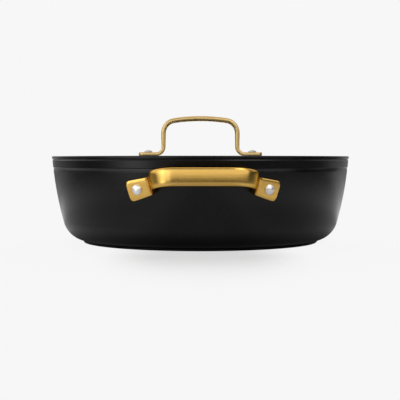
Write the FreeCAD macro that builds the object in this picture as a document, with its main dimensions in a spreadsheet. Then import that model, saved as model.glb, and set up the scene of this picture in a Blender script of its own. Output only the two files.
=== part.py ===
# Lidded braiser: a low round pan with two loop handles and a glass lid, as separate pieces.
# Millimetres, +Z up, origin at the centre of the base, side handles on -Y (front) and +Y (rear).
import FreeCAD, Part
import math
import os
import Sketcher
from FreeCAD import Placement, Rotation, Vector

doc = FreeCAD.newDocument("braiser")
sizes = doc.addObject("Spreadsheet::Sheet", "sizes")

# Driving sizes of the pan
pan_sizes = [
    ("pan_height", "88"),           # base to rim
    ("rim_radius", "152.6"),        # outside of the flared lip
    ("rim_round", "0.8"),           # rounding along both edges of the rim
    ("rim_wall", "3"),              # lip to the lid recess
    ("lip_height", "2.4"),          # rim to the lower edge of the lip
    ("lip_groove", "1.1"),          # depth of the groove under the lip
    ("groove_drop", "0.7"),         # lip down to the bottom of that groove
    ("collar_slope", "1.4"),        # bottom of the groove down to the collar
    ("collar_inset", "0.5"),        # lip to the top of the collar under the groove
    ("collar_fall", "0.6"),         # narrowing of the collar down its height
    ("collar_depth", "11.1"),       # rim to the lower edge of the collar
    ("shoulder_depth", "15.2"),     # rim to where the wall starts to round off under the collar
    ("shoulder_curve", "9"),
    ("shoulder_slope", "16"),       # degrees that the top of the rounding faces up
    ("seat_depth", "11.2"),         # rim to the seat of the lid
    ("wall_thickness", "3.4"),
    ("wall_inset", "1.3"),          # lip to the wall, where the wall would pass behind the collar
    ("wall_depth", "12"),           # rim to that place
    ("wall_lean", "6.1"),           # degrees from upright, at that place
    ("wall_curve", "355"),          # radius of the slow curve down the wall
    ("corner_radius", "25.5"),      # outside of the corner between wall and floor
    ("plate_thickness", "2"),
    ("plate_overhang", "4.5"),      # base plate beyond the flat of the underside
    ("plate_round", "1.3"),
    ("groove_width", "2.4"),        # grooves turned in the underside of the base plate
    ("groove_depth", "0.5"),
    ("seat_gap", "0.1"),            # room left between pieces that rest on each other
]

# Driving sizes of the side handles and their rivets
handle_sizes = [
    ("rivet_angle", "23"),          # degrees from the middle of the handle, round the pan
    ("rivet_drop", "30"),           # rim down to the rivets
    ("lug_width", "19.6"),          # at the outer end, narrowing towards the bar
    ("lug_thickness", "3.4"),
    ("lug_tilt", "14"),             # degrees that each lug climbs towards the middle
    ("lug_end", "9.4"),             # rivet to the outer end of the lug
    ("lug_run", "14"),              # rivet to the bend
    ("lug_lift", "0.1"),            # middle of the lug above its rivet
    ("lug_corner", "3.2"),
    ("bar_standoff", "28.4"),       # lip to the middle of the bar
    ("bar_drop", "18.3"),           # rim down to the middle of the bar
    ("bar_half_length", "45"),
    ("bar_width", "16.2"),
    ("bar_thickness", "5.2"),
    ("bar_bend", "20"),
    ("bar_lean", "2"),              # degrees that the face of the bar looks up
    ("lug_bend", "8"),
    ("side_rivet_head_radius", "4.7"),
    ("side_rivet_head_height", "2.8"),
    ("side_rivet_shank_radius", "3"),
    ("side_rivet_tail_radius", "6"),
    ("side_rivet_tail_height", "2.4"),
]

# Driving sizes of the lid
lid_sizes = [
    ("lid_clearance", "0.4"),       # round the lid, in the recess of the rim
    ("band_metal", "0.8"),
    ("band_cover", "6"),            # width of the flanges over the edge of the glass
    ("band_round", "1.2"),
    ("glass_gap", "0.15"),
    ("glass_thickness", "4"),
    ("lid_rise", "6"),              # crown of the glass above its edge
    ("foot_spacing", "54"),         # axis to the lid rivets
    ("foot_margin", "9.8"),         # lid rivet to the end of its foot
    ("foot_width", "15.5"),
    ("foot_corner", "5"),
    ("foot_thickness", "3.8"),
    ("strap_thickness", "5.2"),
    ("lid_bar_width", "11.5"),
    ("leg_inset", "15.7"),          # lid rivet to the middle of the leg
    ("lid_handle_height", "41.3"),  # underside of the feet to the top of the bar
    ("lid_bar_crown", "4"),
    ("lid_bar_bend", "11"),
    ("lid_foot_bend", "7.5"),
    ("lid_rivet_head_radius", "4.15"),
    ("lid_rivet_head_height", "2.5"),
    ("lid_rivet_shank_radius", "2.5"),
    ("lid_rivet_tail_radius", "4.4"),
    ("lid_rivet_tail_height", "2"),
    ("bush_radius", "7.5"),
    ("bush_flange", "1"),
    ("bush_sleeve_radius", "4.2"),
    ("seal_thickness", "1.2"),
    ("washer_radius", "6.8"),
    ("washer_thickness", "1"),
    ("vent_distance", "92"),        # axis to the steam vent, towards the rear
    ("vent_bore_radius", "2.6"),
    ("vent_tube_radius", "3.3"),
    ("vent_flange_radius", "5.2"),
    ("vent_flange", "0.7"),
    ("hole_gap", "0.1"),            # round a shank or sleeve in its hole
]

# Sizes that follow from the driving ones
followed_sizes = [
    ("lip_low_height", "=pan_height - lip_height"),
    ("lip_groove_radius", "=rim_radius - lip_groove"),
    ("lip_groove_height", "=lip_low_height - groove_drop"),
    ("collar_radius", "=rim_radius - collar_inset"),
    ("collar_height", "=lip_groove_height - collar_slope"),
    ("collar_low_radius", "=collar_radius - collar_fall"),
    ("collar_low_height", "=pan_height - collar_depth"),
    ("rim_side_height", "=pan_height - rim_round"),
    ("rim_outer_radius", "=rim_radius - rim_round"),
    ("recess_radius", "=rim_radius - rim_wall"),
    ("rim_inner_radius", "=recess_radius + rim_round"),
    ("seat_height", "=pan_height - seat_depth"),
    ("wall_centre_radius", "=rim_radius - wall_inset - wall_curve * cos(wall_lean)"),
    ("wall_centre_height", "=pan_height - wall_depth + wall_curve * sin(wall_lean)"),
    ("shoulder_height", "=pan_height - shoulder_depth"),
    ("shoulder_lean", "=asin((wall_centre_height - shoulder_height) / wall_curve)"),
    ("shoulder_radius", "=wall_centre_radius + wall_curve * cos(shoulder_lean)"),
    ("shoulder_top_radius", "=shoulder_radius + shoulder_curve * (cos(shoulder_slope) - cos(shoulder_lean))"),
    ("shoulder_top_height", "=shoulder_height + shoulder_curve * (sin(shoulder_slope) + sin(shoulder_lean))"),
    ("corner_centre_height", "=plate_thickness + corner_radius"),
    ("centre_drop", "=wall_centre_height - corner_centre_height"),
    ("centre_run", "=sqrt((wall_curve - corner_radius)^2 - centre_drop^2)"),
    ("floor_radius", "=wall_centre_radius + centre_run"),
    ("outer_join_share", "=wall_curve / (wall_curve - corner_radius)"),
    ("outer_join_radius", "=wall_centre_radius + centre_run * outer_join_share"),
    ("outer_join_height", "=wall_centre_height - centre_drop * outer_join_share"),
    ("inner_curve", "=wall_curve - wall_thickness"),
    ("inner_corner", "=corner_radius - wall_thickness"),
    ("inner_join_share", "=inner_curve / (wall_curve - corner_radius)"),
    ("inner_join_radius", "=wall_centre_radius + centre_run * inner_join_share"),
    ("inner_join_height", "=wall_centre_height - centre_drop * inner_join_share"),
    ("seat_radius", "=wall_centre_radius + sqrt(inner_curve^2 - (wall_centre_height - seat_height)^2)"),
    ("floor_height", "=plate_thickness + wall_thickness"),
    ("plate_radius", "=floor_radius + plate_overhang"),
    ("plate_flat_radius", "=plate_radius - plate_round"),
    ("rivet_height", "=pan_height - rivet_drop"),
    ("bar_reach", "=rim_radius + bar_standoff"),
    ("bar_height", "=pan_height - bar_drop"),
    ("rivet_wall_lean", "=asin((wall_centre_height - rivet_height) / wall_curve)"),
    ("rivet_wall_radius", "=wall_centre_radius + wall_curve * cos(rivet_wall_lean)"),
    ("rivet_tail_room", "=0.5 * side_rivet_tail_radius^2 / rivet_wall_radius + seat_gap"),
    ("side_rivet_grip", "=lug_thickness + 2 * seat_gap + wall_thickness + rivet_tail_room"),
    ("lid_radius", "=recess_radius - lid_clearance"),
    ("band_inner_radius", "=lid_radius - band_metal"),
    ("glass_radius", "=band_inner_radius - glass_gap"),
    ("cover_radius", "=band_inner_radius - band_cover"),
    ("glass_edge_low", "=seat_height + band_metal + glass_gap"),
    ("glass_edge_high", "=glass_edge_low + glass_thickness"),
    ("glass_crown", "=glass_edge_high + lid_rise"),
    ("glass_crown_low", "=glass_crown - glass_thickness"),
    ("glass_curve", "=(glass_radius^2 + lid_rise^2) / (2 * lid_rise)"),
    ("glass_centre", "=glass_crown - glass_curve"),
    ("glass_centre_low", "=glass_crown_low - glass_curve"),
    ("edge_slope", "=glass_radius / sqrt(glass_curve^2 - glass_radius^2)"),
    ("cover_climb", "=edge_slope * band_cover"),
    ("channel_high", "=glass_edge_high + glass_gap"),
    ("channel_low", "=glass_edge_low - glass_gap"),
    ("cover_under_height", "=channel_high + cover_climb"),
    ("cover_top_height", "=cover_under_height + band_metal"),
    ("band_top_height", "=channel_high + band_metal"),
    ("band_side_height", "=band_top_height - band_round"),
    ("band_top_radius", "=lid_radius - band_round"),
    ("shelf_top_height", "=channel_low + cover_climb"),
    ("shelf_under_height", "=seat_height + cover_climb"),
    ("pad_height", "=glass_centre + sqrt(glass_curve^2 - (foot_spacing - bush_radius)^2)"),
    ("under_height", "=glass_centre_low + sqrt(glass_curve^2 - (foot_spacing + bush_radius)^2)"),
    ("foot_end", "=foot_spacing + foot_margin"),
    ("leg_spacing", "=foot_spacing - leg_inset"),
    ("bush_base", "=under_height - seat_gap"),
    ("bush_sleeve", "=pad_height - under_height + 2 * seat_gap"),
    ("bush_height", "=bush_sleeve + bush_flange"),
    ("bush_bore_radius", "=lid_rivet_shank_radius + hole_gap"),
    ("foot_height", "=bush_base + bush_height + seat_gap"),
    ("seal_base", "=under_height - 2 * seat_gap - seal_thickness"),
    ("washer_base", "=seal_base - seat_gap - washer_thickness"),
    ("lid_rivet_grip", "=foot_height + foot_thickness - washer_base + 2 * seat_gap"),
    ("glass_hole_radius", "=bush_sleeve_radius + hole_gap"),
    ("vent_hole_radius", "=vent_tube_radius + hole_gap"),
    ("vent_high", "=glass_centre + sqrt(glass_curve^2 - (vent_distance - vent_flange_radius)^2)"),
    ("vent_low", "=glass_centre_low + sqrt(glass_curve^2 - (vent_distance + vent_flange_radius)^2)"),
    ("vent_base", "=vent_low - seat_gap - vent_flange"),
    ("vent_tube_high", "=vent_flange + vent_high - vent_low + 2 * seat_gap"),
    ("vent_height", "=vent_tube_high + vent_flange"),
]

# Three grooves share out the flat of the base plate
groove_shares = {"inner_groove": 0.4, "middle_groove": 0.62, "outer_groove": 0.84}
for groove, share in groove_shares.items():
    followed_sizes += [
        (groove + "_radius", f"={share} * plate_flat_radius"),
        (groove + "_near", f"={groove}_radius - groove_width / 2"),
        (groove + "_far", f"={groove}_radius + groove_width / 2"),
    ]

# Both kinds of rivet have a domed head and a low domed tail on a straight shank
for kind in ("side_rivet", "lid_rivet"):
    followed_sizes += [
        (kind + "_tail_rise", "=0.7 * " + kind + "_tail_height"),
        (kind + "_tail_curve", f"=({kind}_tail_radius^2 + {kind}_tail_rise^2) / (2 * {kind}_tail_rise)"),
        (kind + "_neck_height", f"={kind}_tail_height + {kind}_grip"),
        (kind + "_head_rise", "=0.7 * " + kind + "_head_height"),
        (kind + "_head_curve", f"=({kind}_head_radius^2 + {kind}_head_rise^2) / (2 * {kind}_head_rise)"),
        (kind + "_length", f"={kind}_neck_height + {kind}_head_height"),
        (kind + "_shoulder_height", f"={kind}_length - {kind}_head_rise"),
    ]

for row, (alias, text) in enumerate(pan_sizes + handle_sizes + lid_sizes + followed_sizes, start=1):
    sizes.set(f"A{row}", alias)
    sizes.set(f"B{row}", text)
    sizes.setAlias(f"B{row}", alias)
doc.recompute()


def size(alias):
    """Number in a cell of the sheet, or zero where a point lies on an axis."""
    return float(sizes.get(alias)) if alias else 0.0


def origin_plane(body, role):
    """One of the body's own three planes."""
    return next(plane for plane in body.Origin.OriginFeatures if plane.Role == role)


def new_sketch(body, name, role):
    """Empty sketch on one of the body's own planes."""
    sketch = body.newObject("Sketcher::SketchObject", name)
    sketch.AttachmentSupport = [(origin_plane(body, role), "")]
    sketch.MapMode = "FlatFace"
    return sketch


def bind(sketch, constraint, alias):
    """Add a measured constraint and tie it to a cell of the sheet."""
    sketch.setExpression(f"Constraints[{sketch.addConstraint(constraint)}]", f"sizes.{alias}")


def pin(sketch, edge, end, across, up):
    """Hold one end of an edge at two cells of the sheet, or on an axis."""
    if across:
        bind(sketch, Sketcher.Constraint("DistanceX", -1, 1, edge, end, size(across)), across)
    else:
        sketch.addConstraint(Sketcher.Constraint("PointOnObject", edge, end, -2))
    if up:
        bind(sketch, Sketcher.Constraint("DistanceY", -1, 1, edge, end, size(up)), up)
    else:
        sketch.addConstraint(Sketcher.Constraint("PointOnObject", edge, end, -1))


def arc_between(start, finish, radius, side):
    """Short arc between two points, its centre on the left (side 1) or the right (side -1)."""
    chord = finish - start
    middle = (start + finish) * 0.5
    away = Vector(-chord.y, chord.x, 0).normalize() * side
    centre = middle + away * math.sqrt(max(radius**2 - 0.25 * chord.Length**2, 0.0))
    return Part.Arc(start, centre + (middle - centre).normalize() * radius, finish)


def half_section(body, corners):
    """Closed outline of radii and heights. A corner is (radius, height), and an arc to the next
    corner adds its own radius and the side of its centre."""
    sketch = new_sketch(body, body.Name + "_outline", "XZ_Plane")
    points = [Vector(size(corner[0]), size(corner[1]), 0) for corner in corners]
    ends = []
    for index, corner in enumerate(corners):
        start = points[index]
        finish = points[(index + 1) % len(points)]
        if len(corner) == 2:
            edge = sketch.addGeometry(Part.LineSegment(start, finish))
            ends.append((edge, 1, 2))
        else:
            edge = sketch.addGeometry(arc_between(start, finish, size(corner[2]), corner[3]))
            ends.append((edge, 1, 2) if corner[3] > 0 else (edge, 2, 1))
    for index, corner in enumerate(corners):
        edge, first, last = ends[index]
        following = ends[(index + 1) % len(ends)]
        sketch.addConstraint(Sketcher.Constraint("Coincident", edge, last, following[0], following[1]))
        pin(sketch, edge, first, corner[0], corner[1])
    for (edge, first, last), corner in zip(ends, corners):
        if len(corner) == 4:
            bind(sketch, Sketcher.Constraint("Radius", edge, size(corner[2])), corner[2])
    return sketch


def turned(label, corners):
    """Piece turned about its own upright axis."""
    body = doc.addObject("PartDesign::Body", label)
    sketch = half_section(body, corners)
    revolution = body.newObject("PartDesign::Revolution", label + "_turned")
    revolution.Profile = sketch
    revolution.ReferenceAxis = (sketch, ["V_Axis"])
    revolution.Angle = 360
    sketch.Visibility = False
    doc.recompute()
    return body


def moved(piece, x, y, z):
    """The piece with its own origin at a point."""
    piece.Placement = Placement(Vector(x, y, z), Rotation())
    return piece


# Pan: one thick wall from the middle of the floor to the rim, with the lid seat inside the rim. Outside,
# the wall rounds off under a narrow collar, and a fine groove parts the collar from the lip.
pan_shell = turned("pan_shell", [
    (None, "plate_thickness"),
    ("floor_radius", "plate_thickness", "corner_radius", 1),
    ("outer_join_radius", "outer_join_height", "wall_curve", 1),
    ("shoulder_radius", "shoulder_height", "shoulder_curve", 1),
    ("shoulder_top_radius", "shoulder_top_height"),
    ("collar_low_radius", "collar_low_height"),
    ("collar_radius", "collar_height"),
    ("lip_groove_radius", "lip_groove_height"),
    ("rim_radius", "lip_low_height"),
    ("rim_radius", "rim_side_height", "rim_round", 1),
    ("rim_outer_radius", "pan_height"),
    ("rim_inner_radius", "pan_height", "rim_round", 1),
    ("recess_radius", "rim_side_height"),
    ("recess_radius", "seat_height"),
    ("seat_radius", "seat_height", "inner_curve", -1),
    ("inner_join_radius", "inner_join_height", "inner_corner", -1),
    ("floor_radius", "floor_height"),
    (None, "floor_height"),
])

# Base plate: disc under the floor with a rounded lower edge and turned grooves underneath
groove_corners = []
for groove in groove_shares:
    groove_corners += [
        (groove + "_near", None),
        (groove + "_radius", "groove_depth"),
        (groove + "_far", None),
    ]
base_plate = turned("base_plate", [
    (None, None),
    *groove_corners,
    ("plate_flat_radius", None, "plate_round", 1),
    ("plate_radius", "plate_round"),
    ("plate_radius", "plate_thickness"),
    (None, "plate_thickness"),
])


def rivet(label, kind):
    """Rivet standing on the tip of its tail, with its head at the top."""
    return turned(label, [
        (None, None, kind + "_tail_curve", 1),
        (kind + "_tail_radius", kind + "_tail_rise"),
        (kind + "_tail_radius", kind + "_tail_height"),
        (kind + "_shank_radius", kind + "_tail_height"),
        (kind + "_shank_radius", kind + "_neck_height"),
        (kind + "_head_radius", kind + "_neck_height"),
        (kind + "_head_radius", kind + "_shoulder_height", kind + "_head_curve", 1),
        (None, kind + "_length"),
    ])


# Side rivets stand square to the wall, two at each end of the pan
lean = math.radians(size("rivet_wall_lean"))
spread = math.radians(size("rivet_angle"))
side_rivet_places = {}
for end_name, end in (("front", -1), ("rear", 1)):
    for side_name, side in (("left", -1), ("right", 1)):
        level_out = Vector(side * math.sin(spread), end * math.cos(spread), 0)
        foot = level_out * size("rivet_wall_radius") + Vector(0, 0, size("rivet_height"))
        outward = level_out * math.cos(lean) - Vector(0, 0, math.sin(lean))
        side_rivet_places[end_name + "_" + side_name] = (foot, outward)

side_rivets = []
rivet_holes = []
for place, (foot, outward) in side_rivet_places.items():
    along = Rotation(Vector(0, 0, 1), outward)
    piece = rivet(place + "_rivet", "side_rivet")
    depth = size("wall_thickness") + size("rivet_tail_room") + size("side_rivet_tail_height")
    piece.Placement = Placement(foot - outward * depth, along)
    side_rivets.append(piece)
    hole = doc.addObject("Part::Cylinder", place + "_hole")
    hole.setExpression("Radius", "sizes.side_rivet_shank_radius + sizes.hole_gap")
    hole.setExpression("Height", "2 * (sizes.wall_thickness + sizes.lug_thickness) + 8")
    hole.Placement = Placement(foot - outward * (size("wall_thickness") + 4), along)
    rivet_holes.append(hole)
doc.recompute()


def drilled(label, piece, holes):
    """Piece with a group of round holes through it."""
    drills = doc.addObject("Part::Compound", label + "_drills")
    drills.Links = holes
    cut = doc.addObject("Part::Cut", label)
    cut.Base = piece
    cut.Tool = drills
    return cut


pan_body = drilled("pan_body", pan_shell, rivet_holes)


def rounded_run(corners, bends, spacing):
    """Points and directions along straight runs whose inner corners are rounded by arcs."""
    run = []
    start = corners[0]
    for index in range(1, len(corners)):
        ahead = (corners[index] - corners[index - 1]).normalize()
        if index == len(corners) - 1:
            cut = 0.0
        else:
            after = (corners[index + 1] - corners[index]).normalize()
            bend_angle = ahead.getAngle(after)
            cut = bends[index - 1] * math.tan(bend_angle / 2)
        finish = corners[index] - ahead * cut
        count = max(1, round((finish - start).Length / spacing))
        run += [(start + (finish - start) * (step / count), ahead) for step in range(count)]
        if index == len(corners) - 1:
            run.append((finish, ahead))
            break
        inward = (after - ahead * after.dot(ahead)).normalize()
        centre = finish + inward * bends[index - 1]
        count = max(4, round(math.degrees(bend_angle) / 12))
        for step in range(count):
            angle = bend_angle * step / count
            spot = centre + (ahead * math.sin(angle) - inward * math.cos(angle)) * bends[index - 1]
            run.append((spot, ahead * math.cos(angle) + inward * math.sin(angle)))
        start = centre + (ahead * math.sin(bend_angle) - inward * math.cos(bend_angle)) * bends[index - 1]
    return run


def strap_section(spot, wide, thick, half_width, half_thickness, squareness):
    """Ring of control points round the strap: an oval that can come close to a rectangle."""
    power = 2.0 / squareness
    ring_points = []
    for step in range(24):
        angle = math.radians(15 * step)
        across = math.copysign(abs(math.cos(angle)) ** power, math.cos(angle)) * half_width
        through = math.copysign(abs(math.sin(angle)) ** power, math.sin(angle)) * half_thickness
        ring_points.append(spot + wide * across + thick * through)
    return ring_points


def skinned(rings):
    """Solid with one smooth skin along rings of control points and a flat cap at each end."""
    around = len(rings[0])
    along = len(rings) - 3
    skin = Part.BSplineSurface()
    skin.buildFromPolesMultsKnots(
        [[ring_points[index] for ring_points in rings] for index in range(around)],
        [1] * (around + 1), [4] + [1] * (along - 1) + [4],
        list(range(around + 1)), list(range(along + 1)), True, False, 3, 3)
    side = skin.toShape()
    caps = [Part.Face(Part.Wire([edge])) for edge in side.Edges if edge.isClosed()]
    solid = Part.Solid(Part.Shell([side, *caps]))
    # The caps are turned to face outwards
    solid.fix(1e-5, 1e-5, 1e-5)
    return solid


def blend(first, last, share):
    """Value between two ends, easing in and out."""
    share = min(max(share, 0.0), 1.0)
    return first + (last - first) * (share * share * (3 - 2 * share))


def strap_handle(corners, bends, flat_run, foot, bar, foot_up, bar_up, end_corner, crown):
    """Bent strap with flat feet and an oval bar, the same on both sides of X = 0.

    Corners run from the outer end of the left foot to the middle of the bar. Foot and bar are
    (width, thickness, squareness). The foot narrows from its end to a little past the first bend,
    and the strap thickens between the end of the flat foot and the end of the last bend."""
    run = rounded_run(corners, bends, 5.0)
    end_corner = min(end_corner, 0.35 * foot[0])
    first_spot, first_ahead = run[0]
    shares = (0, 0.1, 0.3, 0.6, 1)
    eased = [(first_spot + first_ahead * (end_corner * share), first_ahead) for share in shares]
    run = eased + [place for place in run[1:] if (place[0] - first_spot).Length > end_corner * 1.4]
    last_bend_x = abs(corners[-2].x) - bends[-1]
    steps = [(b[0] - a[0]).Length for a, b in zip(run, run[1:]) if abs(b[0].x) >= last_bend_x]
    bar_start = sum(steps)
    travelled = 0.0
    sections = []
    last_spot = first_spot
    for spot, ahead in run:
        travelled += (spot - last_spot).Length
        last_spot = spot
        share = (travelled - flat_run) / (bar_start - flat_run)
        half_width = blend(foot[0], bar[0], travelled / (1.5 * flat_run)) / 2
        if travelled < end_corner:
            half_width -= end_corner - math.sqrt(end_corner**2 - (end_corner - travelled) ** 2)
        up = foot_up * (1 - blend(0, 1, share)) + bar_up * blend(0, 1, share)
        wide = (up - ahead * up.dot(ahead)).normalize()
        thick = ahead.cross(wide)
        lift = crown * max(0.0, 1 - (spot.x / corners[-2].x) ** 2)
        sections.append((spot + thick * lift, wide, thick, half_width,
                         blend(foot[1], bar[1], share) / 2, blend(foot[2], bar[2], share)))
    left = [strap_section(*section) for section in sections]
    right = []
    for spot, wide, thick, half_width, half_thickness, squareness in reversed(sections[:-1]):
        flipped = [Vector(-v.x, v.y, v.z) for v in (spot, wide, thick)]
        right.append(strap_section(*flipped, half_width, half_thickness, squareness))
    return skinned(left + right)


# Side handle: each lug lies on the wall round its rivet, then the strap bends out and up to the bar
foot, outward = side_rivet_places["front_left"]
level = Vector(math.cos(spread), -math.sin(spread), 0)
up_wall = outward.cross(level)
tilt = math.radians(size("lug_tilt"))
lug_ahead = level * math.cos(tilt) + up_wall * math.sin(tilt)
lug_up = up_wall * math.cos(tilt) - level * math.sin(tilt)
lug_middle = foot + outward * (size("lug_thickness") / 2 + size("seat_gap")) + lug_up * size("lug_lift")
bend_point = lug_middle + lug_ahead * size("lug_run")
bar_corner = Vector(-size("bar_half_length"), -size("bar_reach"), size("bar_height"))
bar_lean = math.radians(size("bar_lean"))
side_strap = strap_handle(
    [lug_middle - lug_ahead * size("lug_end"), bend_point, bar_corner, Vector(0, bar_corner.y, bar_corner.z)],
    [size("lug_bend"), size("bar_bend")],
    size("lug_end") + size("lug_run") - 3,
    (size("lug_width"), size("lug_thickness"), 6),
    (size("bar_width"), size("bar_thickness"), 2.8),
    lug_up,
    Vector(0, math.sin(bar_lean), math.cos(bar_lean)),
    size("lug_corner"),
    0.0,
)

side_handles = []
for end_name, end_turn in (("front", 0), ("rear", 180)):
    strap = doc.addObject("Part::Feature", end_name + "_strap")
    strap.Shape = side_strap
    strap.Placement = Placement(Vector(0, 0, 0), Rotation(Vector(0, 0, 1), end_turn))
    holes = [hole for hole in rivet_holes if hole.Name.startswith(end_name)]
    side_handles.append(drilled(end_name + "_handle", strap, holes))

# Lid glass: shallow dome of even thickness with a hole for each rivet bush and one for the vent
lid_glass = turned("lid_glass", [
    (None, "glass_crown_low", "glass_curve", -1),
    ("glass_radius", "glass_edge_low"),
    ("glass_radius", "glass_edge_high", "glass_curve", 1),
    (None, "glass_crown"),
])
glass_holes = new_sketch(lid_glass, "glass_holes", "XY_Plane")
for side in (-1, 1):
    centre = Vector(side * size("foot_spacing"), 0, 0)
    edge = glass_holes.addGeometry(Part.Circle(centre, Vector(0, 0, 1), size("glass_hole_radius")))
    glass_holes.addConstraint(Sketcher.Constraint("PointOnObject", edge, 3, -1))
    ends = (-1, 1, edge, 3) if side > 0 else (edge, 3, -1, 1)
    bind(glass_holes, Sketcher.Constraint("DistanceX", *ends, size("foot_spacing")), "foot_spacing")
    bind(glass_holes, Sketcher.Constraint("Radius", edge, size("glass_hole_radius")), "glass_hole_radius")
edge = glass_holes.addGeometry(
    Part.Circle(Vector(0, size("vent_distance"), 0), Vector(0, 0, 1), size("vent_hole_radius")))
pin(glass_holes, edge, 3, None, "vent_distance")
bind(glass_holes, Sketcher.Constraint("Radius", edge, size("vent_hole_radius")), "vent_hole_radius")
glass_cut = lid_glass.newObject("PartDesign::Pocket", "glass_cut")
glass_cut.Profile = glass_holes
glass_cut.Type = "ThroughAll"
glass_cut.Reversed = True
glass_holes.Visibility = False

# Rim band: metal channel over the edge of the glass, flat underneath where it rests on the seat
lid_rim_band = turned("lid_rim_band", [
    ("cover_radius", "shelf_under_height"),
    ("band_inner_radius", "seat_height"),
    ("lid_radius", "seat_height"),
    ("lid_radius", "band_side_height", "band_round", 1),
    ("band_top_radius", "band_top_height"),
    ("cover_radius", "cover_top_height"),
    ("cover_radius", "cover_under_height"),
    ("band_inner_radius", "channel_high"),
    ("band_inner_radius", "channel_low"),
    ("cover_radius", "shelf_top_height"),
])

# Lid handle: a strap bent up from two flat feet into a bar with a slight crown
foot_level = size("foot_height") + size("foot_thickness") / 2
bar_top = size("foot_height") + size("lid_handle_height")
bar_level = bar_top - size("strap_thickness") / 2 - size("lid_bar_crown")
lid_leg = -size("leg_spacing")
lid_strap = doc.addObject("Part::Feature", "lid_strap")
lid_strap.Shape = strap_handle(
    [Vector(-size("foot_end"), 0, foot_level), Vector(lid_leg, 0, foot_level),
     Vector(lid_leg, 0, bar_level), Vector(0, 0, bar_level)],
    [size("lid_foot_bend"), size("lid_bar_bend")],
    size("foot_end") - size("foot_spacing") + 6,
    (size("foot_width"), size("foot_thickness"), 5),
    (size("lid_bar_width"), size("strap_thickness"), 2.8),
    Vector(0, 1, 0),
    Vector(0, 1, 0),
    size("foot_corner"),
    size("lid_bar_crown"),
)
foot_holes = []
for side_name, side in (("left", -1), ("right", 1)):
    hole = doc.addObject("Part::Cylinder", side_name + "_foot_hole")
    hole.setExpression("Radius", "sizes.lid_rivet_shank_radius + sizes.hole_gap")
    hole.setExpression("Height", "3 * sizes.foot_thickness")
    hole_base = size("foot_height") - size("foot_thickness")
    foot_holes.append(moved(hole, side * size("foot_spacing"), 0, hole_base))
lid_handle = drilled("lid_handle", lid_strap, foot_holes)


def ring(label, outer, height):
    """Flat washer round a lid rivet."""
    return turned(label, [
        ("bush_bore_radius", None),
        (outer, None),
        (outer, height),
        ("bush_bore_radius", height),
    ])


# Each foot of the lid handle: bush above and through the glass, seal, washer and rivet below
lid_fixings = []
for side_name, side in (("left", -1), ("right", 1)):
    bush = turned(f"lid_{side_name}_bush", [
        ("bush_bore_radius", None),
        ("bush_sleeve_radius", None),
        ("bush_sleeve_radius", "bush_sleeve"),
        ("bush_radius", "bush_sleeve"),
        ("bush_radius", "bush_height"),
        ("bush_bore_radius", "bush_height"),
    ])
    seal = ring(f"lid_{side_name}_seal", "bush_radius", "seal_thickness")
    washer = ring(f"lid_{side_name}_washer", "washer_radius", "washer_thickness")
    fixing = rivet(f"lid_{side_name}_rivet", "lid_rivet")
    tail_tip = size("washer_base") - size("seat_gap") - size("lid_rivet_tail_height")
    for piece, base in ((bush, size("bush_base")), (seal, size("seal_base")),
                        (washer, size("washer_base")), (fixing, tail_tip)):
        lid_fixings.append(moved(piece, side * size("foot_spacing"), 0, base))

# Steam vent: short tube with a flange on each side of the glass
vent_eyelet = moved(turned("vent_eyelet", [
    ("vent_bore_radius", None),
    ("vent_flange_radius", None),
    ("vent_flange_radius", "vent_flange"),
    ("vent_tube_radius", "vent_flange"),
    ("vent_tube_radius", "vent_tube_high"),
    ("vent_flange_radius", "vent_tube_high"),
    ("vent_flange_radius", "vent_height"),
    ("vent_bore_radius", "vent_height"),
]), 0, size("vent_distance"), size("vent_base"))

doc.recompute()
for item in doc.Objects:
    if "Invalid" in item.State or "Error" in item.State:
        raise RuntimeError(f"{item.Label} did not build")

pieces = [pan_body, base_plate, *side_handles, *side_rivets,
          lid_glass, lid_rim_band, lid_handle, *lid_fixings, vent_eyelet]
os.makedirs("parts", exist_ok=True)
for piece in pieces:
    shape = piece.Shape
    if shape.isNull() or not shape.isValid() or len(shape.Solids) != 1:
        raise RuntimeError(f"{piece.Label} is not one sound solid")
    print(f"{piece.Label}: {shape.Volume / 1000:.2f} cm3")
    shape.exportStep(f"parts/{piece.Label}.step")
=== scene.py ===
# %% [markdown]
# # A lidded braiser: finishes, studio and camera
# The construction model already has every piece of this pan in its place: the pan, its base
# plate, two gold loop handles, their rivets, and a glass lid with a gold strap handle. The solids
# could be modelled again here, but their shapes are right, so each one stays and gets its finish.
# This lesson gives each material the detail of the real one, then lights and frames the pan.

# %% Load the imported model
import math
import bmesh
import bpy
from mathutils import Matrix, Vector


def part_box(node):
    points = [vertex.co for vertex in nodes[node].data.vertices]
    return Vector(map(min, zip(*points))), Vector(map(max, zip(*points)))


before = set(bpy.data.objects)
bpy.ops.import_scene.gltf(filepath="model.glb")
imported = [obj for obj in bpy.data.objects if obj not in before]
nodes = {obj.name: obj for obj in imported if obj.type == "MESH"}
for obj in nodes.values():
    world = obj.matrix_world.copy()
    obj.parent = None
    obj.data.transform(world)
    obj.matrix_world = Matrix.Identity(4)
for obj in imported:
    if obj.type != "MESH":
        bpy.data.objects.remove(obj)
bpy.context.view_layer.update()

# %% [markdown]
# ## Colours and nodes
# Colours are read off as sRGB hex values, the way a paint or screen colour is written. Blender's
# shaders work in linear light, so one function converts them. A second one sets a node's inputs
# to values or links them, and a small function that uses it adds a shader node with its options.
# Object coordinates drive every pattern: they are in metres and stay with the piece when it moves.

# %% Colour and node helpers
MM = 0.001


def linear(hex_colour):
    """Linear RGBA of an sRGB hex colour."""
    channels = [int(hex_colour[index:index + 2], 16) / 255 for index in (0, 2, 4)]
    light = [c / 12.92 if c <= 0.04045 else ((c + 0.055) / 1.055) ** 2.4 for c in channels]
    return (*light, 1.0)


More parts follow.
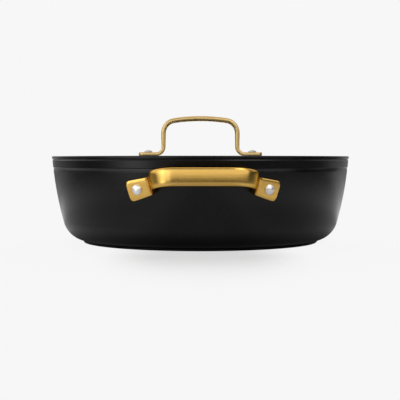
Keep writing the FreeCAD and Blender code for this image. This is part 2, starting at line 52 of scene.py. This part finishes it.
def fill_inputs(tree, node, inputs):
    """Set a node's own inputs to values, or link them to other sockets."""
    for name, value in inputs.items():
        if isinstance(value, bpy.types.NodeSocket):
            tree.links.new(value, node.inputs[name])
        else:
            node.inputs[name].default_value = value


def add_node(tree, kind, inputs=None, **settings):
    """Add a node, set its options and fill its inputs."""
    node = tree.nodes.new(kind)
    for name, value in settings.items():
        setattr(node, name, value)
    fill_inputs(tree, node, inputs or {})
    return node


def new_finish(name):
    """Empty material: its node tree, its Principled shader and its Object coordinates."""
    material = bpy.data.materials.new(name)
    material.use_nodes = True
    tree = material.node_tree
    shader = tree.nodes["Principled BSDF"]
    place = add_node(tree, "ShaderNodeTexCoord").outputs["Object"]
    return material, tree, shader, place


def finish_nodes(material, names):
    """Give the finish to CAD nodes, in the slots they came with."""
    for name in names:
        for slot in nodes[name].material_slots:
            slot.material = material
    print(material.name, "on", ", ".join(names))


# %% [markdown]
# ## Pan: satin black non-stick coating
# The pan is forged aluminium under a sprayed fluoropolymer coating, baked to a black satin skin.
# Its low refractive index keeps the middle of the wall almost black while the edges, seen at a
# grazing angle, turn silvery. Spraying leaves a faint orange peel a few millimetres wide, a fine
# grit, and sparse mineral flecks. Inside, the floor is turned before it is coated, so shallow
# rings show through. The rim is rubbed smoother by the lid. A painted mask could tell inside from
# outside, but the surface's own direction does so without one: faces that look up or towards the
# axis are inside.

# %% Patterns of the coating
coating, tree, shader, place = new_finish("satin_black_fluoropolymer_coating")
CLOUD_WIDTH = 40 * MM
PEEL_WIDTH = 5 * MM
GRIT_WIDTH = 0.6 * MM           # real grit is finer, and this coarse it can show in the render
FLECK_SPACING = 2.2 * MM
FLECK_EDGE = (0.16, 0.1)        # where a fleck begins and is full, in shares of the spacing

clouds = add_node(tree, "ShaderNodeTexNoise", {"Vector": place, "Scale": 1 / CLOUD_WIDTH, "Detail": 2})
peel = add_node(tree, "ShaderNodeTexNoise", {"Vector": place, "Scale": 1 / PEEL_WIDTH, "Detail": 1})
grit = add_node(tree, "ShaderNodeTexNoise", {"Vector": place, "Scale": 1 / GRIT_WIDTH, "Detail": 1})
flecks = add_node(tree, "ShaderNodeTexVoronoi", {"Vector": place, "Scale": 1 / FLECK_SPACING})
fleck_mask = add_node(tree, "ShaderNodeMapRange", {
    "Value": flecks.outputs["Distance"], "From Min": FLECK_EDGE[0], "From Max": FLECK_EDGE[1]})
print("coating patterns:", ", ".join(node.name for node in (clouds, peel, grit, flecks)))

# %% Inside mask: direction of the surface against the direction out from the axis
INSIDE_EDGE = (0.1, 0.5)        # where the inside begins and is full, by direction
surface = add_node(tree, "ShaderNodeNewGeometry").outputs["Normal"]
flat_place = add_node(tree, "ShaderNodeVectorMath", {0: place, 1: (1, 1, 0)}, operation="MULTIPLY")
outward = add_node(tree, "ShaderNodeVectorMath", {0: flat_place.outputs[0]}, operation="NORMALIZE")
facing_out = add_node(tree, "ShaderNodeVectorMath", {
    0: surface, 1: outward.outputs[0]}, operation="DOT_PRODUCT")
facing_up = add_node(tree, "ShaderNodeSeparateXYZ", {"Vector": surface}).outputs["Z"]
facing_in = add_node(tree, "ShaderNodeMath", {
    0: facing_up, 1: facing_out.outputs["Value"]}, operation="SUBTRACT")
inside = add_node(tree, "ShaderNodeMapRange", {
    "Value": facing_in.outputs[0], "From Min": INSIDE_EDGE[0], "From Max": INSIDE_EDGE[1]})
print("inside mask:", inside.name)

# %% Colour and gloss of the coating
INSIDE_GLOSS = -0.08            # change of roughness where the inside has been wiped smooth
RUBBED_GLOSS = -0.08            # and at the top of the rim, where the lid rubs
RUBBED_DEPTH = 1.2 * MM
RIM_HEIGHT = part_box("pan_body")[1].z

colour = add_node(tree, "ShaderNodeMix", {
    "Factor": clouds.outputs["Fac"], "A": linear("0c0c0d"), "B": linear("141414")}, data_type="RGBA")
flecked = add_node(tree, "ShaderNodeMix", {
    "Factor": fleck_mask.outputs["Result"], "A": colour.outputs["Result"], "B": linear("242424")},
    data_type="RGBA")
dulled = add_node(tree, "ShaderNodeMapRange", {
    "Value": clouds.outputs["Fac"], "To Min": 0.21, "To Max": 0.28})
smooth_inside = add_node(tree, "ShaderNodeMath", {
    0: inside.outputs["Result"], 1: INSIDE_GLOSS, 2: dulled.outputs["Result"]},
    operation="MULTIPLY_ADD")
height = add_node(tree, "ShaderNodeSeparateXYZ", {"Vector": place}).outputs["Z"]
rubbed = add_node(tree, "ShaderNodeMapRange", {
    "Value": height, "From Min": RIM_HEIGHT - RUBBED_DEPTH, "From Max": RIM_HEIGHT,
    "To Min": 0.0, "To Max": RUBBED_GLOSS})
gloss = add_node(tree, "ShaderNodeMath", {
    0: smooth_inside.outputs[0], 1: rubbed.outputs["Result"]}, operation="ADD")
print("rim rubbed smooth up to", round(RIM_HEIGHT / MM, 1), "mm")

# %% Relief of the coating
RING_SPACING = 1.6 * MM
COATING_IOR = 1.38              # a fluoropolymer bends light less than most plastics
WAVE_PERIOD = math.pi / 10      # one ring of the wave texture at a scale of 1

rings = add_node(tree, "ShaderNodeTexWave", {
    "Vector": place, "Scale": WAVE_PERIOD / RING_SPACING, "Distortion": 0.0},
    wave_type="RINGS", rings_direction="Z")
ring_relief = add_node(tree, "ShaderNodeMath", {
    0: rings.outputs["Fac"], 1: inside.outputs["Result"]}, operation="MULTIPLY")
ring_bump = add_node(tree, "ShaderNodeBump", {
    "Height": ring_relief.outputs[0], "Strength": 0.25, "Distance": 0.03 * MM})
peel_bump = add_node(tree, "ShaderNodeBump", {
    "Height": peel.outputs["Fac"], "Strength": 0.3, "Distance": 0.04 * MM,
    "Normal": ring_bump.outputs["Normal"]})
grit_bump = add_node(tree, "ShaderNodeBump", {
    "Height": grit.outputs["Fac"], "Strength": 0.3, "Distance": 0.02 * MM,
    "Normal": peel_bump.outputs["Normal"]})
fill_inputs(tree, shader, {
    "Base Color": flecked.outputs["Result"], "Roughness": gloss.outputs[0],
    "Normal": grit_bump.outputs["Normal"], "IOR": COATING_IOR, "Specular IOR Level": 0.38})
finish_nodes(coating, ["pan_body"])

# %% [markdown]
# ## Base plate: dark coated steel
# The disc under the floor is steel, so that the pan works on an induction hob. It wears the same
# black coating, and on its underside the marks of turning show as fine rings between the three
# grooves. The rings are read from the distance to the axis: noise along that one distance gives
# rings of uneven strength, as a tool leaves them, where a wave texture would look too regular.

# %% Distance helper


def distance(tree, place, centre=(0, 0, 0), squeeze=(1, 1, 0)):
    """Level distance of each point from a centre, which is the pan's axis unless another is given."""
    moved = add_node(tree, "ShaderNodeVectorMath", {0: place, 1: centre}, operation="SUBTRACT")
    squeezed = add_node(tree, "ShaderNodeVectorMath", {
        0: moved.outputs[0], 1: squeeze}, operation="MULTIPLY")
    length = add_node(tree, "ShaderNodeVectorMath", {0: squeezed.outputs[0]}, operation="LENGTH")
    return length.outputs["Value"]


# %% Dark coated steel
base_coating, tree, shader, place = new_finish("dark_coated_turned_steel")
TURNING_MARK = 0.9 * MM         # real marks are finer, and this coarse they can show in the render
BASE_PATCH = 25 * MM
turning = add_node(tree, "ShaderNodeTexNoise", {
    "W": distance(tree, place), "Scale": 1 / TURNING_MARK, "Detail": 2}, noise_dimensions="1D")
patches = add_node(tree, "ShaderNodeTexNoise", {"Vector": place, "Scale": 1 / BASE_PATCH, "Detail": 3})
tone = add_node(tree, "ShaderNodeMix", {
    "Factor": turning.outputs["Fac"], "A": linear("101011"), "B": linear("1b1b1c")}, data_type="RGBA")
dulled = add_node(tree, "ShaderNodeMapRange", {
    "Value": patches.outputs["Fac"], "To Min": 0.32, "To Max": 0.5})
relief = add_node(tree, "ShaderNodeBump", {
    "Height": turning.outputs["Fac"], "Strength": 0.4, "Distance": 0.05 * MM})
fill_inputs(tree, shader, {
    "Base Color": tone.outputs["Result"], "Roughness": dulled.outputs["Result"],
    "Normal": relief.outputs["Normal"], "IOR": COATING_IOR, "Specular IOR Level": 0.2})
finish_nodes(base_coating, ["base_plate"])

# %% [markdown]
# ## Handles: gold-tone brushed steel
# The handles are stainless steel straps with a titanium nitride skin, which gives a warm gold. A
# belt brushes them along their length before coating, so fine lines follow the strap. An
# anisotropic shader could stand for the lines, but it shows no single ones, so noise that is
# stretched along the strap draws them. The side handles lie level with their width upright, so
# their lines change quickly with height alone. The lid handle has its width across the lid, so
# its lines change quickly along Y alone. It is paler and more matt than the others.

# %% Gold-tone brushed steel
BRUSH_LINE = 0.7 * MM           # real lines are about 0.1 mm, and this coarse they can show
BRUSH_LENGTH = 45 * MM
GOLD_PATCH = 18 * MM


def brushed_gold(name, fine_axis, tones, edge, glossiest, dullest):
    """Gold-tone steel with brush lines square to the fine axis. Its tones: streak, dark and light."""
    streak, dark, light = tones
    material, tree, shader, place = new_finish(name)
    stretch = [1 / BRUSH_LENGTH] * 3
    stretch[fine_axis] = 1 / BRUSH_LINE
    along = add_node(tree, "ShaderNodeMapping", {"Vector": place, "Scale": stretch})
    lines = add_node(tree, "ShaderNodeTexNoise", {
        "Vector": along.outputs["Vector"], "Scale": 1.0, "Detail": 3, "Roughness": 0.6})
    patches = add_node(tree, "ShaderNodeTexNoise", {"Vector": place, "Scale": 1 / GOLD_PATCH, "Detail": 2})
    tone = add_node(tree, "ShaderNodeMix", {
        "Factor": patches.outputs["Fac"], "A": linear(dark), "B": linear(light)},
        data_type="RGBA")
    streaked = add_node(tree, "ShaderNodeMix", {
        "Factor": lines.outputs["Fac"], "A": linear(streak), "B": tone.outputs["Result"]},
        data_type="RGBA")
    dulled = add_node(tree, "ShaderNodeMapRange", {
        "Value": lines.outputs["Fac"], "From Min": 0.25, "From Max": 0.75,
        "To Min": dullest, "To Max": glossiest})
    relief = add_node(tree, "ShaderNodeBump", {
        "Height": lines.outputs["Fac"], "Strength": 0.12, "Distance": 0.03 * MM})
    fill_inputs(tree, shader, {
        "Base Color": streaked.outputs["Result"], "Roughness": dulled.outputs["Result"],
        "Normal": relief.outputs["Normal"], "Metallic": 1.0, "Specular Tint": linear(edge)})
    return material


AXIS_Y, AXIS_Z = 1, 2
side_gold = brushed_gold(
    "gold_tone_steel_brushed_level", AXIS_Z, ("d8aa54", "e5b85f", "eec674"), "dbb67c", 0.2, 0.28)
finish_nodes(side_gold, ["front_handle", "rear_handle"])
lid_gold = brushed_gold(
    "gold_tone_steel_brushed_across", AXIS_Y, ("d8b878", "e0c184", "e8cb92"), "b09468", 0.36, 0.44)
finish_nodes(lid_gold, ["lid_handle"])

# %% [markdown]
# ## Rivets, washers and vent: bright stainless steel
# Rivets are upset cold from bright stainless wire and then tumbled, so they mirror the studio with
# a soft blur. The four rivets of the side handles are given a near-white colour, paler than steel:
# a painted highlight that stands in for the bright light they catch. Those of the lid, its washers
# and its vent keep the greyer skin of the wire. Fine scratches run in all directions. They could be
# modelled, but at this size noise in the roughness and a slight relief are enough to show them.

# %% Bright stainless steel
SCUFF_WIDTH = 1.5 * MM          # real scratches are finer, and this coarse they can show


def bright_steel(name, dark, light):
    """Tumbled stainless steel between two near tones."""
    material, tree, shader, place = new_finish(name)
    scuffs = add_node(tree, "ShaderNodeTexNoise", {"Vector": place, "Scale": 1 / SCUFF_WIDTH, "Detail": 3})
    tone = add_node(tree, "ShaderNodeMix", {
        "Factor": scuffs.outputs["Fac"], "A": linear(dark), "B": linear(light)}, data_type="RGBA")
    dulled = add_node(tree, "ShaderNodeMapRange", {
        "Value": scuffs.outputs["Fac"], "From Min": 0.3, "From Max": 0.7, "To Min": 0.3, "To Max": 0.42})
    relief = add_node(tree, "ShaderNodeBump", {
        "Height": scuffs.outputs["Fac"], "Strength": 0.15, "Distance": 0.03 * MM})
    fill_inputs(tree, shader, {
        "Base Color": tone.outputs["Result"], "Roughness": dulled.outputs["Result"],
        "Normal": relief.outputs["Normal"], "Metallic": 1.0})
    return material


lid_rivets = ["lid_left_rivet", "lid_right_rivet"]
side_rivets = [name for name in nodes if name.endswith("_rivet") and name not in lid_rivets]
washers = [name for name in nodes if name.endswith("_washer")]
# the near-white tones of the side rivets are a painted highlight, not a colour of the steel
finish_nodes(bright_steel("stainless_steel_painted_highlight", "f2efed", "fbf9f8"), side_rivets)
finish_nodes(bright_steel("bright_stainless_wire", "bcb8b2", "cdc9c4"),
             lid_rivets + washers + ["vent_eyelet"])

# %% [markdown]
# ## Rim band: stainless steel brushed round the lid
# The band is rolled from strip and brushed while the lid turns, so its lines run round the edge.
# A wave texture could draw them, but too evenly. Noise over the distance from the axis and the
# height gives uneven rings on the flange and on the side.

# %% Brushed rim band
band_steel, tree, shader, place = new_finish("stainless_steel_brushed_round")
BAND_LINE = 0.5 * MM            # real lines are finer, and this coarse they can show
height = add_node(tree, "ShaderNodeSeparateXYZ", {"Vector": place}).outputs["Z"]
section = add_node(tree, "ShaderNodeCombineXYZ", {"X": distance(tree, place), "Y": height})
lines = add_node(tree, "ShaderNodeTexNoise", {
    "Vector": section.outputs["Vector"], "Scale": 1 / BAND_LINE, "Detail": 2}, noise_dimensions="2D")
tone = add_node(tree, "ShaderNodeMix", {
    "Factor": lines.outputs["Fac"], "A": linear("c4c3c2"), "B": linear("dddcdb")}, data_type="RGBA")
dulled = add_node(tree, "ShaderNodeMapRange", {
    "Value": lines.outputs["Fac"], "From Min": 0.3, "From Max": 0.7, "To Min": 0.2, "To Max": 0.34})
relief = add_node(tree, "ShaderNodeBump", {
    "Height": lines.outputs["Fac"], "Strength": 0.2, "Distance": 0.02 * MM})
fill_inputs(tree, shader, {
    "Base Color": tone.outputs["Result"], "Roughness": dulled.outputs["Result"],
    "Normal": relief.outputs["Normal"], "Metallic": 1.0})
finish_nodes(band_steel, ["lid_rim_band"])

# %% [markdown]
# ## Lid: clear tempered glass
# Soda-lime glass, pressed and tempered: clear, a little green in its depth, and never quite flat.
# A plain glass shader could do, but it looks too perfect. A slow wave in the surface bends
# reflections as tempering rollers do, and faint smears raise the roughness where cloths and
# fingers have been.

# %% Clear tempered glass
glass, tree, shader, place = new_finish("clear_tempered_soda_lime_glass")
WAVE_LENGTH = 60 * MM
SMEAR_WIDTH = 22 * MM
waves = add_node(tree, "ShaderNodeTexNoise", {"Vector": place, "Scale": 1 / WAVE_LENGTH, "Detail": 1})
smears = add_node(tree, "ShaderNodeTexNoise", {
    "Vector": place, "Scale": 1 / SMEAR_WIDTH, "Detail": 4, "Distortion": 0.8})
dulled = add_node(tree, "ShaderNodeMapRange", {
    "Value": smears.outputs["Fac"], "From Min": 0.45, "From Max": 0.75, "To Min": 0.015, "To Max": 0.06})
tone = add_node(tree, "ShaderNodeMix", {
    "Factor": smears.outputs["Fac"], "A": linear("f2f8f5"), "B": linear("f8fbf9")}, data_type="RGBA")
relief = add_node(tree, "ShaderNodeBump", {
    "Height": waves.outputs["Fac"], "Strength": 0.2, "Distance": 0.2 * MM})
fill_inputs(tree, shader, {
    "Base Color": tone.outputs["Result"], "Roughness": dulled.outputs["Result"],
    "Normal": relief.outputs["Normal"], "IOR": 1.52, "Transmission Weight": 1.0})
finish_nodes(glass, ["lid_glass"])

# %% [markdown]
# ## Bushes and seals: grey silicone
# Moulded silicone rubber is matt and a little translucent, with a fine moulded grain and dust that
# clings to it. Light inside the rubber could be worked out too, but these rings are too small and
# dark for it to show. A low sheen stands for the dust.

# %% Grey silicone
silicone, tree, shader, place = new_finish("grey_moulded_silicone")
GRAIN_WIDTH = 0.8 * MM
grain = add_node(tree, "ShaderNodeTexNoise", {"Vector": place, "Scale": 1 / GRAIN_WIDTH, "Detail": 2})
tone = add_node(tree, "ShaderNodeMix", {
    "Factor": grain.outputs["Fac"], "A": linear("3b3c3e"), "B": linear("4b4c4e")}, data_type="RGBA")
dulled = add_node(tree, "ShaderNodeMapRange", {
    "Value": grain.outputs["Fac"], "To Min": 0.55, "To Max": 0.75})
relief = add_node(tree, "ShaderNodeBump", {
    "Height": grain.outputs["Fac"], "Strength": 0.3, "Distance": 0.05 * MM})
fill_inputs(tree, shader, {
    "Base Color": tone.outputs["Result"], "Roughness": dulled.outputs["Result"],
    "Normal": relief.outputs["Normal"], "IOR": 1.41, "Sheen Weight": 0.15})
finish_nodes(silicone, [name for name in nodes if name.endswith(("_bush", "_seal"))])

# %% [markdown]
# ## Camera
# The camera was fitted to the curves of the rim and base in the photograph: it stands 1.03 m from
# the axis and a little under the rim, tipped down slightly, so the lid is hidden and the floor
# shows. A guessed camera would do for a pretty picture, but not for comparing the two.

# %% Camera
CAMERA_DISTANCE = 1.030             # metres
CAMERA_HEIGHT = 0.08416
CAMERA_TURN = math.radians(1.1)     # the pan is turned a little from square-on
PIXELS = 400
FOCAL_PIXELS = 990
HORIZON_PIXEL = 160.0
AXIS_PIXEL = 200.4
SENSOR_WIDTH = 36                   # millimetres, as Blender counts lenses
NEAREST = 10 * MM

camera_data = bpy.data.cameras.new("camera")
camera_data.sensor_width = SENSOR_WIDTH
camera_data.lens = SENSOR_WIDTH * FOCAL_PIXELS / PIXELS
camera_data.clip_start = NEAREST
camera = bpy.data.objects.new("camera", camera_data)
bpy.context.scene.collection.objects.link(camera)
camera.location = (-CAMERA_DISTANCE * math.sin(CAMERA_TURN),
                   -CAMERA_DISTANCE * math.cos(CAMERA_TURN), CAMERA_HEIGHT)
tip = math.atan2(PIXELS / 2 - HORIZON_PIXEL, FOCAL_PIXELS)
swing = math.atan2(AXIS_PIXEL - PIXELS / 2, FOCAL_PIXELS)
camera.rotation_euler = (math.pi / 2 - tip, 0, -CAMERA_TURN + swing)
bpy.context.scene.camera = camera
print("camera at", [round(v, 4) for v in camera.location])

# %% [markdown]
# ## Studio floor
# A plain pale floor runs out to a pale background. To the camera most of it is an even glow, as a
# sheet of paper under strong light looks in a picture. In front of the pan part of it is matt
# paper, which shows the shadow that the lamp behind throws there. A shadow picture laid over the
# background could do the same, but this needs no second picture. The black coating mirrors the
# floor, so the mirrored floor glows with painted light and shade of its own, cast by no lamp: a
# painted pool of light round the pan that fades outwards, painted shade beside the pan, in the
# shadow and close to the base plate, painted light on a stretch behind the pan, and a painted
# bright spot at the foot of the lamp on the left.

# %% Helpers for levels
PALE = linear("f7f7f7")


def smooth_level(tree, changes, level=1.0):
    """A first level times smooth changes: each is a value, its two ends, and the levels there."""
    for value, start, end, level_at_start, level_at_end in changes:
        change = add_node(tree, "ShaderNodeMapRange", {
            "Value": value, "From Min": start, "From Max": end,
            "To Min": level_at_start, "To Max": level_at_end}, interpolation_type="SMOOTHSTEP")
        product = add_node(tree, "ShaderNodeMath", {
            0: level, 1: change.outputs["Result"]}, operation="MULTIPLY")
        level = product.outputs[0]
    return level


def join_levels(tree, operation, levels):
    """One level from several, joined in turn by a Math operation such as ADD or MAXIMUM."""
    joined = levels[0]
    for level in levels[1:]:
        joined = add_node(tree, "ShaderNodeMath", {0: joined, 1: level}, operation=operation).outputs[0]
    return joined


def ways_of_seeing(tree):
    """One level for what is seen straight or through the glass, and one for what is mirrored."""
    path = add_node(tree, "ShaderNodeLightPath")
    straight = [path.outputs["Is Camera Ray"], path.outputs["Is Transmission Ray"]]
    return join_levels(tree, "MAXIMUM", straight), path.outputs["Is Glossy Ray"]


# %% Floor
FLOOR_RADIUS = 4.0
FLOOR_SEGMENTS = 96
FLOOR_DROP = 0.3 * MM               # the floor lies this far under the base plate
shape = bmesh.new()
bmesh.ops.create_circle(shape, cap_ends=True, radius=FLOOR_RADIUS, segments=FLOOR_SEGMENTS)
bmesh.ops.translate(shape, verts=shape.verts, vec=(0, 0, -FLOOR_DROP))
floor_mesh = bpy.data.meshes.new("floor")
shape.to_mesh(floor_mesh)
shape.free()
floor = bpy.data.objects.new("floor", floor_mesh)
bpy.context.scene.collection.objects.link(floor)
print("floor", 2 * FLOOR_RADIUS, "m across")

# %% Floor as the camera sees it: an even tone, with matt paper where the shadow falls
SHADOW_CENTRE = (0, -0.19, 0)
SHADOW_SQUEEZE = (2.2, 1, 0)        # the shadow's dark part is narrower than it is deep
SHADOW_EDGES = (0.08, 0.22)
floor_finish = bpy.data.materials.new("white_paper_with_painted_glow")
floor_finish.use_nodes = True
tree = floor_finish.node_tree
tree.nodes.clear()
place = add_node(tree, "ShaderNodeTexCoord").outputs["Object"]
straight, mirrored = ways_of_seeing(tree)
reach = distance(tree, place)
from_shadow = distance(tree, place, SHADOW_CENTRE, SHADOW_SQUEEZE)

near_share = smooth_level(tree, [(from_shadow, *SHADOW_EDGES, 0.68, 0.97)])
even_share = smooth_level(tree, [(reach, 0.45, 0.8, near_share, 1.0)], straight)
paper = add_node(tree, "ShaderNodeBsdfDiffuse", {"Color": PALE})
even = add_node(tree, "ShaderNodeEmission", {"Color": PALE, "Strength": 1.0})
seen_floor = add_node(tree, "ShaderNodeMixShader", {
    0: even_share, 1: paper.outputs[0], 2: even.outputs[0]})
print("floor as seen:", len(tree.nodes), "shader nodes")

# %% Floor as the pan mirrors it: painted light and shade by place, with distances in metres
LAMP_FOOT = (-0.43, -0.43, 0)
sideways, backwards, _ = add_node(tree, "ShaderNodeSeparateXYZ", {"Vector": place}).outputs
# painted shade: the mirrored floor is dimmer beside the pan
painted_shade_beside_pan = smooth_level(tree, [
    (sideways, 0.0, 0.15, 1.0, 0.56),
    (sideways, -0.05, -0.2, 1.0, 0.7)])
away_from_pan = smooth_level(tree, [(reach, 0.18, 0.28, 0.0, 1.0)])
# painted pool of light round the pan, with painted shade in the shadow and close to the base plate
painted_pool = smooth_level(tree, [
    (reach, 0.3, 0.55, 0.8, 0.1),
    (from_shadow, *SHADOW_EDGES, 0.6, 1.0),
    (reach, 0.125, 0.165, 0.1, 1.0)], join_levels(tree, "MAXIMUM", [painted_shade_beside_pan, away_from_pan]))
# painted light on a stretch of floor behind the pan
painted_light_behind_pan = smooth_level(tree, [
    (sideways, -0.3, 0.3, 0.38, 0.66),
    (backwards, 0.08, 0.25, 0.0, 1.0),
    (reach, 0.6, 1.4, 1.0, 0.4)])
# painted spot of light at the foot of the left lamp, which lights no floor itself
painted_lamp_spot = smooth_level(tree, [(distance(tree, place, LAMP_FOOT), 0.05, 0.2, 3.0, 0.0)])
# the mirrored floor glows with these painted levels, seen in reflections alone
painted_mirror_floor = add_node(tree, "ShaderNodeEmission", {
    "Color": PALE, "Strength": join_levels(tree, "ADD", [painted_pool, painted_light_behind_pan, painted_lamp_spot])})
floor_surface = add_node(tree, "ShaderNodeMixShader", {
    0: mirrored, 1: seen_floor.outputs[0], 2: painted_mirror_floor.outputs[0]})
add_node(tree, "ShaderNodeOutputMaterial", {"Surface": floor_surface.outputs[0]})
floor.data.materials.append(floor_finish)
print(floor_finish.name, "on", floor.name, "with", len(tree.nodes), "shader nodes in all")

# %% [markdown]
# ## Light
# The room is dim in reflections, which keeps the black coating black, and the lights in it are
# areas of the world, given by direction. A wide light in front fills the face of the gold bar and
# stops short of the right, where the bar's end goes dark. A light at the left brings up the bar's
# other end. A ring of light higher up, open at the top, draws the top edges, and a light behind
# draws the groove and the shoulder under the rim and the silvery edges of the wall. Lamps could
# give all of these, but world light reaches every piece alike. Three softboxes side by side at the
# left give the sheen on the wall, and one high at the right draws the bar's top edge there. They
# show in reflections alone, so they leave the floor even. One wide lamp behind throws the soft
# shadow forwards.

# %% Lights of the world, by direction: x to the right, y away from the camera, z up
world = bpy.data.worlds.new("studio")
bpy.context.scene.world = world
world.use_nodes = True
tree = world.node_tree
tree.nodes.clear()
direction = add_node(tree, "ShaderNodeTexCoord").outputs["Generated"]
x, y, z = add_node(tree, "ShaderNodeSeparateXYZ", {"Vector": direction}).outputs

front_light = smooth_level(tree, [
    (y, -0.1, -0.35, 0.0, 1.0),
    (z, 0.0, 0.08, 0.0, 1.15),
    (x, 0.9, 0.98, 1.0, 0.0)])
left_light = smooth_level(tree, [
    (x, -0.6, -0.85, 0.0, 1.0),
    (z, 0.0, 0.08, 0.0, 1.0)])
back_light = smooth_level(tree, [
    (y, -0.1, 0.2, 0.0, 1.0),
    (z, 0.1, 0.3, 0.0, 1.25),
    (x, 0.1, 0.5, 1.0, 0.55)])
high_light = smooth_level(tree, [
    (z, 0.45, 0.65, 0.0, 1.0),
    (x, -0.5, 0.5, 1.3, 0.7)])
edge_light = smooth_level(tree, [(y, 0.5, 0.75, 0.0, 0.45)])
opening = smooth_level(tree, [
    (z, 0.55, 0.8, 0.0, 1.0),
    (y, 0.25, 0.0, 0.0, 0.75)])
ring = join_levels(tree, "MAXIMUM", [front_light, left_light, back_light, high_light])
outside_opening = join_levels(tree, "SUBTRACT", [1.0, opening])
open_ring = join_levels(tree, "MULTIPLY", [ring, outside_opening])
bright = join_levels(tree, "MAXIMUM", [open_ring, edge_light])
print("lights of the world:", len(tree.nodes), "shader nodes")

# %% World for each way of seeing: pale to the camera, lights in mirrors, and an even fill
FILL = 0.2
DIM_ROOM = 0.04
straight, mirrored = ways_of_seeing(tree)
fill = add_node(tree, "ShaderNodeBackground", {"Color": (1, 1, 1, 1), "Strength": FILL})
room = add_node(tree, "ShaderNodeBackground", {
    "Color": PALE, "Strength": join_levels(tree, "ADD", [bright, DIM_ROOM])})
pale = add_node(tree, "ShaderNodeBackground", {"Color": PALE, "Strength": 1.0})
unseen = add_node(tree, "ShaderNodeMixShader", {0: mirrored, 1: fill.outputs[0], 2: room.outputs[0]})
background = add_node(tree, "ShaderNodeMixShader", {
    0: straight, 1: unseen.outputs[0], 2: pale.outputs[0]})
add_node(tree, "ShaderNodeOutputWorld", {"Surface": background.outputs[0]})
print("world", world.name, "with", len(tree.nodes), "shader nodes in all")

# %% Softboxes, with places and sizes in metres
LEFT_HEIGHT = 0.17
LEFT_TALL = 0.33
LEFT_TARGET = (-0.05, -0.16, LEFT_HEIGHT)
BAR_RIGHT_END = (0.05, -0.16, 0.08)


def softbox(name, place, target, wide, tall, radiance):
    """Rectangular lamp that faces a point. In a mirror a radiance of 1 looks white."""
    lamp_data = bpy.data.lights.new(name, "AREA")
    lamp_data.shape = "RECTANGLE"
    lamp_data.size = wide
    lamp_data.size_y = tall
    lamp_data.energy = radiance * math.pi * wide * tall
    lamp = bpy.data.objects.new(name, lamp_data)
    bpy.context.scene.collection.objects.link(lamp)
    lamp.location = place
    lamp.rotation_euler = (Vector(target) - Vector(place)).to_track_quat("-Z", "Y").to_euler()
    lamp.visible_diffuse = False
    print(name, "gives", round(lamp_data.energy, 2), "W")


softbox("left_softbox", (-0.4, -0.44, LEFT_HEIGHT), LEFT_TARGET, 0.19, LEFT_TALL, 1.35)
softbox("left_wing", (-0.254, -0.561, LEFT_HEIGHT), LEFT_TARGET, 0.16, LEFT_TALL, 0.8)
softbox("left_flank", (-0.5, -0.3, LEFT_HEIGHT), LEFT_TARGET, 0.15, LEFT_TALL, 0.7)
softbox("right_high_softbox", (0.25, -0.37, 0.5), BAR_RIGHT_END, 0.3, 0.25, 2.5)

# %% Lamp behind
SUN_STRENGTH = 4.2
SUN_WIDTH = math.radians(70)        # as wide as a large panel, for a soft shadow
SUN_DIRECTION = (0, -0.83, -0.56)   # forwards and down
sun_data = bpy.data.lights.new("back_lamp", "SUN")
sun_data.energy = SUN_STRENGTH
sun_data.angle = SUN_WIDTH
sun = bpy.data.objects.new("back_lamp", sun_data)
bpy.context.scene.collection.objects.link(sun)
sun.rotation_euler = Vector(SUN_DIRECTION).to_track_quat("-Z", "Y").to_euler()
sun.visible_glossy = False
print(sun.name, "gives", SUN_STRENGTH, "W per square metre")

# %% [markdown]
# ## Finish
# Standard view keeps colours as they are written.

# %% View
bpy.context.scene.view_settings.view_transform = "Standard"
